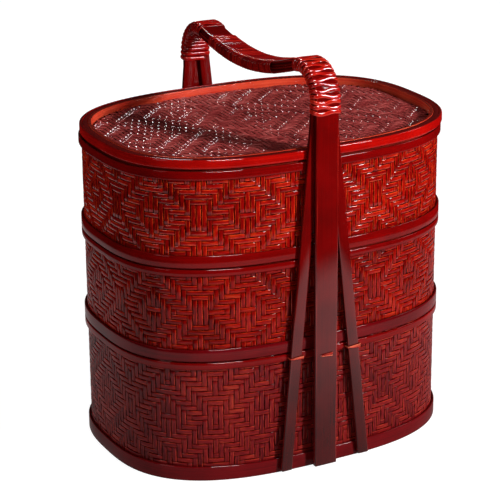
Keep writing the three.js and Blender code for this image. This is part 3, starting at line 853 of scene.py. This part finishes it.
def arch_line():
    """The arch's centre line across the basket, from the front foot over the grip to the rear foot."""
    front_centre = np.array([BEND_RADIUS - arch_half_span, front_upright])
    rear_centre = np.array([arch_half_span - BEND_RADIUS, rear_upright])
    front_turn = np.linspace(math.pi, math.pi / 2 - FRONT_DIP_SLOPE, ARCH_SAMPLES)
    rear_turn = np.linspace(math.pi / 2 + REAR_DIP_SLOPE, 0, ARCH_SAMPLES)
    front_bend = front_centre + BEND_RADIUS * np.stack([np.cos(front_turn), np.sin(front_turn)], 1)
    rear_bend = rear_centre + BEND_RADIUS * np.stack([np.cos(rear_turn), np.sin(rear_turn)], 1)
    start, end = front_bend[-1], rear_bend[0]
    reach = DIP_REACH_SHARE * np.linalg.norm(end - start)
    leave = start + reach * np.array([math.cos(FRONT_DIP_SLOPE), -math.sin(FRONT_DIP_SLOPE)])
    arrive = end - reach * np.array([math.cos(REAR_DIP_SLOPE), math.sin(REAR_DIP_SLOPE)])
    t = np.linspace(0, 1, ARCH_SAMPLES)[1:-1, None]
    grip = (1 - t) ** 3 * start + 3 * (1 - t) ** 2 * t * leave
    grip = grip + 3 * (1 - t) * t ** 2 * arrive + t ** 3 * end
    front_foot = np.array([[-arch_half_span, STRIP_FOOT_LIFT]])
    rear_foot = np.array([[arch_half_span, STRIP_FOOT_LIFT]])
    return np.concatenate([front_foot, front_bend, grip, rear_bend, rear_foot])


arch = arch_line()
arch_travel = np.concatenate([[0], np.cumsum(np.linalg.norm(np.diff(arch, axis=0), axis=1))])
arch_length = arch_travel[-1]


def on_arch(distance):
    """Place, outward and forward directions at distances along the arch."""
    place = np.stack([np.interp(distance, arch_travel, arch[:, axis]) for axis in (0, 1)], -1)
    ends = [np.clip(distance + step, 0, arch_length) for step in (-ARCH_STEP, ARCH_STEP)]
    behind, ahead = [
        np.stack([np.interp(end, arch_travel, arch[:, axis]) for axis in (0, 1)], -1) for end in ends
    ]
    run = ahead - behind
    run = run / np.linalg.norm(run, axis=-1, keepdims=True)
    zero = np.zeros(place.shape[:-1])
    forward = np.stack([zero, run[..., 0], run[..., 1]], -1)
    outward = np.stack([zero, -run[..., 1], run[..., 0]], -1)
    return np.stack([zero, place[..., 0], place[..., 1]], -1), outward, forward


def splay_share(height):
    """Share of the splay at a height, which falls from 1 at the foot to 0 at the bend."""
    fall = 1 - height / min(front_upright, rear_upright)
    return (fall + np.hypot(fall, SPLAY_EASING)) / 2


def strip_place(side, height):
    """Where the middle of a strip lies along X. side is -1, 0 or 1."""
    splay = (SIDE_FOOT_OFFSET - pair_offset) * splay_share(height)
    return HANDLE_SHIFT + side * (pair_offset + splay) + abs(side) * SPLAY_SHIFT * splay_share(height)


def block(name, size, middle, edge_round, round_steps):
    """A block of that size about its middle, with rounded edges, as the one selected object."""
    deselect_all()
    bpy.ops.mesh.primitive_cube_add(size=1, location=(0, 0, 0))
    piece = bpy.context.object
    piece.name = name
    bpy.ops.object.mode_set(mode="EDIT")
    bpy.ops.mesh.select_all(action="SELECT")
    bpy.ops.transform.resize(value=size)
    bpy.ops.transform.translate(value=middle)
    bpy.ops.object.mode_set(mode="OBJECT")
    apply_modifier(piece, "BEVEL", width=edge_round, segments=round_steps, limit_method="ANGLE")
    return piece


def bent_strip(name, side, width, thickness, back):
    """A straight bar with planed edges, cut along its length and bent along the arch."""
    piece = block(name, (width, thickness, arch_length), (0, 0, 0), STRIP_ROUND, STRIP_ROUND_STEPS)
    for _ in range(CUT_ROUNDS):
        bpy.ops.object.mode_set(mode="EDIT")
        bpy.ops.mesh.select_mode(type="EDGE")
        bpy.ops.mesh.select_all(action="DESELECT")
        bpy.ops.object.mode_set(mode="OBJECT")
        for edge in piece.data.edges:
            low, high = (piece.data.vertices[end].co for end in edge.vertices)
            edge.select = bool(abs(high.z - low.z) > arch_length / LONG_EDGE_PARTS)
        bpy.ops.object.mode_set(mode="EDIT")
        bpy.ops.mesh.subdivide(number_cuts=CUTS_IN_ROUND)
        bpy.ops.object.mode_set(mode="OBJECT")
    straight = np.array([vertex.co for vertex in piece.data.vertices])
    across = straight[:, 0]
    out = -straight[:, 1]
    distance = straight[:, 2] + arch_length / 2
    place, outward, _ = on_arch(distance)
    depth = centre_layer - back - thickness / 2
    bent = place + (out - depth)[:, None] * outward
    height = place[:, 2]
    shift = strip_place(side, height + SLOPE_STEP) - strip_place(side, height - SLOPE_STEP)
    slope = shift / (2 * SLOPE_STEP)
    bent[:, 0] = strip_place(side, height) + across * np.hypot(1, slope)
    piece.data.vertices.foreach_set("co", bent.ravel())
    lay = np.stack([distance, across / (width / 2), out / (thickness / 2)], -1)
    piece.data.attributes.new("lay", "FLOAT_VECTOR", "POINT").data.foreach_set("vector", lay.ravel())
    turn_faces_out()
    bpy.ops.object.shade_smooth_by_angle(angle=SMOOTH_ANGLE)
    return piece


def strip_lacquer():
    """Dark red gloss over split bamboo: long fibres, painted darker towards the foot as painted shade, red
    along worn edges, and side faces in painted shade. Hands have dulled it above the lid."""
    material, start, shader = new_material("strip_lacquer")
    lay = start.node("Attribute", output="Vector", attribute_name="lay")
    across = start.node("SeparateXYZ", {"Vector": lay}, output="Y")
    out = start.node("SeparateXYZ", {"Vector": lay}, output="Z")
    grain = start.node("VectorMath", {0: lay, 1: STRIP_GRAIN}, operation="MULTIPLY")
    streak = start.node("TexNoise", {"Vector": grain, "Scale": 1, "Detail": 4})
    place = start.node("TexCoord", output="Object")
    height = start.node("SeparateXYZ", {"Vector": place}, output="Z")
    cloud = start.node("TexNoise", {"Vector": place, "Scale": STRIP_CLOUD_SCALE, "Detail": 2})
    # Painted shade: the strips are painted darker towards the foot.
    upper = height.step(*UPPER_STRIP)
    deep, bright = start.mix(upper, *STRIP_DEEP), start.mix(upper, *STRIP_BRIGHT)
    share = (streak * STRIP_STREAKS + cloud * (1 - STRIP_STREAKS)).step(*LACQUER_CONTRAST)
    colour = start.mix(share, deep, bright)
    worn = abs(across).step(*STRIP_EDGE) * out.step(*STRIP_FACE) * streak.step(*STRIP_WEAR)
    colour = start.mix(worn * STRIP_EDGE_WEAR, colour, STRIP_WORN_COLOUR)
    # Painted shade and light: side faces are painted nearly black above and a lit red at the foot.
    shade = start.mix(upper, *STRIP_SIDE_SHADE)
    colour = start.mix(1 - abs(out).step(*STRIP_SIDES), colour, shade)
    start.link(colour, shader.inputs["Base Color"])
    start.link(streak * STRIP_ROUGHNESS_SPREAD + STRIP_ROUGHNESS, shader.inputs["Roughness"])
    relief = start.node("Bump", {"Height": streak, "Strength": 0.08, "Distance": FIBRE_RELIEF})
    start.link(relief, shader.inputs["Normal"])
    shader.inputs["Specular IOR Level"].default_value = 0.0
    start.link(1 - height.step(*HAND_WEAR) * HAND_DULLING, shader.inputs["Coat Weight"])
    shader.inputs["Coat Roughness"].default_value = 0.05
    return material


dark_strip = strip_lacquer()
centre_back = centre_layer - CENTRE_STRIP_THICKNESS / 2
strip_sizes = (
    ("left", -1, SIDE_STRIP_WIDTH, SIDE_STRIP_THICKNESS, FIT_GAP),
    ("centre", 0, CENTRE_STRIP_WIDTH, CENTRE_STRIP_THICKNESS, centre_back),
    ("right", 1, SIDE_STRIP_WIDTH, SIDE_STRIP_THICKNESS, FIT_GAP),
)
for label, side, width, thickness, back in strip_sizes:
    strip = bent_strip(f"{label}_strip_bamboo", side, width, thickness, back)
    fit_piece(strip, dark_strip, "base_tier", "handle_strips", f"handle_{label}_strip")

# Spacers and dowels. Small hardwood blocks keep the strips clear of the trays, and bamboo pins hold the
# strips' feet to the foot hoop.
SPACER_ROUND = 0.0007
SPACER_ROUND_STEPS = 2
for end in ("front", "rear"):
    for place_name in ("rim", "foot"):
        node = f"{end}_{place_name}_spacer"
        low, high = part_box(node)
        size, middle = tuple(high - low), tuple((high + low) / 2)
        spacer = block(f"{node}_block", size, middle, SPACER_ROUND, SPACER_ROUND_STEPS)
        bpy.ops.object.shade_smooth_by_angle(angle=SMOOTH_ANGLE)
        fit_piece(spacer, brown_board, "base_tier", "fixings", node)
    for label in ("left", "centre", "right"):
        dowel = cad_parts[f"{end}_{label}_dowel"]
        dowel.data.materials.clear()
        dowel.data.materials.append(brown_board)

# Ties. Stitches of split cane over each strip just under the base tier's rim, drawn through the wall.
# They fan out from one hole, and are painted brighter than the strips, with bright speckles of painted
# highlight.
TIE_WIDTH = 0.0012
TIE_THICKNESS = 0.0009
TIE_BEND = 0.0011
TIE_BEND_STEPS = 6
TIE_CROWN_STEPS = 5
TIE_FAN = 0.0013
TIE_FAN_MIDDLE = 0.6
TIE_UNEVENNESS = 0.2
TIE_STRANDS = 3
tie_section = np.array([
    (-0.5, -0.5), (-0.5, 0), (-0.25, 0.5), (0.25, 0.5), (0.5, 0), (0.5, -0.5),
]) * (TIE_WIDTH, TIE_THICKNESS)


def staple_line(half, crown):
    """Across and rise of a staple: up one leg, over the crown and down, with rounded corners."""
    turn = np.linspace(0, math.pi / 2, TIE_BEND_STEPS)
    across = np.concatenate([[0], TIE_BEND * (1 - np.cos(turn))]) - half
    rise = np.concatenate([[0], crown - TIE_BEND * (1 - np.sin(turn))])
    middle = np.linspace(TIE_BEND - half, half - TIE_BEND, TIE_CROWN_STEPS + 2)[1:-1]
    across = np.concatenate([across, middle, -across[::-1]])
    return across, np.concatenate([rise, np.full(len(middle), crown), rise[::-1]])


def tie(end, label, finish, seed):
    """Strands bent like staples over a strip, from hole to hole, fanned out on one side."""
    node = f"{end}_{label}_tie"
    low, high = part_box(node)
    facing = -1 if end == "front" else 1
    wall = low.y if facing > 0 else high.y
    centre = (low + high) / 2
    half = (high.x - low.x) / 2 - TIE_THICKNESS / 2
    across, rise = staple_line(half, high.y - low.y - TIE_THICKNESS / 2)
    run = np.gradient(np.stack([across, rise], -1), axis=0)
    run = run / np.linalg.norm(run, axis=1, keepdims=True)
    draw = np.random.default_rng(seed)
    uneven = draw.uniform(-TIE_UNEVENNESS, TIE_UNEVENNESS, TIE_STRANDS)
    spread = (np.linspace(-1, 1, TIE_STRANDS) + uneven) * TIE_FAN
    spine = np.zeros((TIE_STRANDS, len(across), 3))
    spine[..., 0] = centre.x + across
    spine[..., 1] = wall + facing * rise
    fan = TIE_FAN_MIDDLE + (1 - TIE_FAN_MIDDLE) * across / half
    spine[..., 2] = centre.z + spread[:, None] * fan
    outward = np.zeros(spine.shape)
    outward[..., 0] = -run[:, 1]
    outward[..., 1] = facing * run[:, 0]
    sideways = np.zeros(spine.shape)
    sideways[..., 2] = 1
    tone = draw.random((TIE_STRANDS, 1))
    over = np.ones(spine.shape[:2])
    piece = ribbons(
        f"{node}_cane", spine, sideways, outward, tie_section, closed=False, tone=tone, over=over,
    )
    fit_piece(piece, finish, "base_tier", "fixings", node)


# Painted highlight: the brightest stop of these tones gives the ties their bright speckles.
tie_tones = (
    (0.35, (0.2, 0.003, 0.002)),
    (0.5, (0.42, 0.015, 0.008)),
    (0.65, (0.75, 0.16, 0.08)),
)
highlit_cane = splint_lacquer("highlit_cane", tie_tones, edge=(0.6, 0.12, 0.07), gloss=0.6)
for end in ("front", "rear"):
    for seed, label in enumerate(("left", "centre", "right")):
        tie(end, label, highlit_cane, seed)

# Windings. Flat rattan cane bound tightly round the three strips, in one unbroken length over each
# corner and one along the grip. Its rounded back shows as a row of ridges, which are brightest at the
# front corner, where neighbouring turns cross to and fro and the cane is painted brighter as painted light.
CANE_WIDTH = 0.0042
CANE_THICKNESS = 0.0014
CANE_PITCH = 0.0047
CANE_CORNER_RADIUS = 0.0042
CANE_BOW = 0.00025
CANE_LEAN = 0.09
CANE_SLACK = 0.0002
CANE_CROSSING = 0.001
REAR_CROSSING = CANE_CROSSING / 3
CANE_SLANT = -0.003
CORNER_STEPS = 5
FACE_STEPS = 5
CORNER_WRAP_LENGTH = 0.0669
FRONT_WRAP_DROP = 0.0114
REAR_WRAP_DROP = 0.0084
FRONT_BARE_LENGTH = 0.039
REAR_BARE_LENGTH = 0.021
cane_section = np.array([
    (-0.5, -0.5), (-0.49, -0.25), (-0.38, 0.15), (-0.22, 0.4), (0, 0.5), (0.22, 0.4), (0.38, 0.15),
    (0.49, -0.25), (0.5, -0.5),
]) * (CANE_WIDTH, CANE_THICKNESS)
bundle_half_width = pair_offset + SIDE_STRIP_WIDTH / 2
bundle_thickness = CENTRE_STRIP_THICKNESS + FIT_GAP + SIDE_STRIP_THICKNESS
bundle_depth = (bundle_thickness - CENTRE_STRIP_THICKNESS) / 2


def loop_line():
    """One turn of cane round the bundle: across, rise and the direction that it faces."""
    reach_side = bundle_half_width + FIT_GAP + CANE_THICKNESS / 2
    reach_out = bundle_thickness / 2 + FIT_GAP + CANE_THICKNESS / 2
    flat_side, flat_out = reach_side - CANE_CORNER_RADIUS, reach_out - CANE_CORNER_RADIUS
    across, rise, turn = [], [], []
    for corner in range(4):
        diagonal = (corner - 0.5) * math.pi / 2
        side, out = np.sign(math.cos(diagonal)), np.sign(math.sin(diagonal))
        bend = diagonal + np.linspace(-math.pi / 4, math.pi / 4, CORNER_STEPS)
        across.append(side * flat_side + CANE_CORNER_RADIUS * np.cos(bend))
        rise.append(out * flat_out + CANE_CORNER_RADIUS * np.sin(bend))
        turn.append(bend)
        if corner % 2:
            share = np.linspace(1, -1, FACE_STEPS + 2)[1:-1]
            across.append(side * flat_side * share)
            rise.append(np.full(FACE_STEPS, out * reach_out))
            turn.append(bend[-1] - out * side * share * CANE_BOW / flat_side * 2)
    across, rise, turn = np.concatenate(across), np.concatenate(rise), np.concatenate(turn)
    return across, rise - np.sign(rise) * CANE_BOW * (across / reach_side) ** 2, turn


def winding(node, start_distance, end_distance, finish, seed, crossing=0, slant=0):
    """Cane wound round the strips in turns that advance along the arch. Crossing bends the turns to and
    fro over the outer face, so that neighbours meet in two staggered rows of knots; slant tilts them."""
    loops = round((end_distance - start_distance) / CANE_PITCH)
    across, rise, turn = (np.tile(line, loops) for line in loop_line())
    steps_in_loop = len(across) // loops
    draw = np.random.default_rng(seed)
    slack = np.repeat(draw.uniform(0, CANE_SLACK, loops), steps_in_loop)
    lean = np.repeat(draw.normal(0, CANE_LEAN, loops), steps_in_loop)
    tone = np.repeat(draw.random(loops), steps_in_loop)
    parity = np.repeat((-1.0) ** np.arange(loops), steps_in_loop)
    wave = parity * np.sin(math.pi * across / bundle_half_width) * (rise > 0)
    tilt = slant * across / bundle_half_width
    distance = np.linspace(start_distance, end_distance, len(across)) + crossing * wave + tilt
    distance = np.clip(distance, start_distance, end_distance)
    lean = lean + wave * crossing / CANE_WIDTH
    place, outward, forward = on_arch(distance)
    spread = strip_place(1, place[:, 2]) - HANDLE_SHIFT - pair_offset
    spine = place + (rise - np.sign(rise) * slack - bundle_depth)[:, None] * outward
    spine[:, 0] = HANDLE_SHIFT + across * (1 + spread / bundle_half_width)
    ray = np.sin(turn)[:, None] * outward
    ray[:, 0] = np.cos(turn)
    ray = ray + lean[:, None] * forward
    over = np.ones((1, len(distance)))
    piece = ribbons(
        f"{node}_cane", spine[None], forward[None], ray[None], cane_section,
        closed=False, tone=tone[None], over=over,
    )
    fit_piece(piece, finish, "base_tier", "cane", node)


cane_tones = (
    (0.25, (0.12, 0.001, 0.001)),
    (0.5, (0.29, 0.002, 0.002)),
    (0.75, (0.5, 0.014, 0.008)),
)
# Painted light: a brighter copy of the cane's tones for the front corner, which faces the main lamp.
lit_scarlet_cane_tones = (
    (0.25, (0.2, 0.001, 0.001)),
    (0.5, (0.42, 0.003, 0.002)),
    (0.75, (0.62, 0.025, 0.008)),
)
red_cane = splint_lacquer("red_cane", cane_tones, edge=(0.5, 0.02, 0.012), gloss=0.5)
lit_scarlet_cane = splint_lacquer("lit_scarlet_cane", lit_scarlet_cane_tones, edge=(0.6, 0.03, 0.012), gloss=0.9)
front_start = front_upright - STRIP_FOOT_LIFT - FRONT_WRAP_DROP
rear_end = arch_length - rear_upright + STRIP_FOOT_LIFT + REAR_WRAP_DROP
front_end, rear_start = front_start + CORNER_WRAP_LENGTH, rear_end - CORNER_WRAP_LENGTH
grip_start, grip_end = front_end + FRONT_BARE_LENGTH, rear_start - REAR_BARE_LENGTH
winding("front_corner_wrap", front_start, front_end, lit_scarlet_cane, seed=31, crossing=CANE_CROSSING)
winding("grip_wrap", grip_start, grip_end, red_cane, seed=32, slant=CANE_SLANT)
winding("rear_corner_wrap", rear_start, rear_end, red_cane, seed=33, crossing=REAR_CROSSING)

# Size. The box round everything that renders, the floor left out.
low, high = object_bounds()
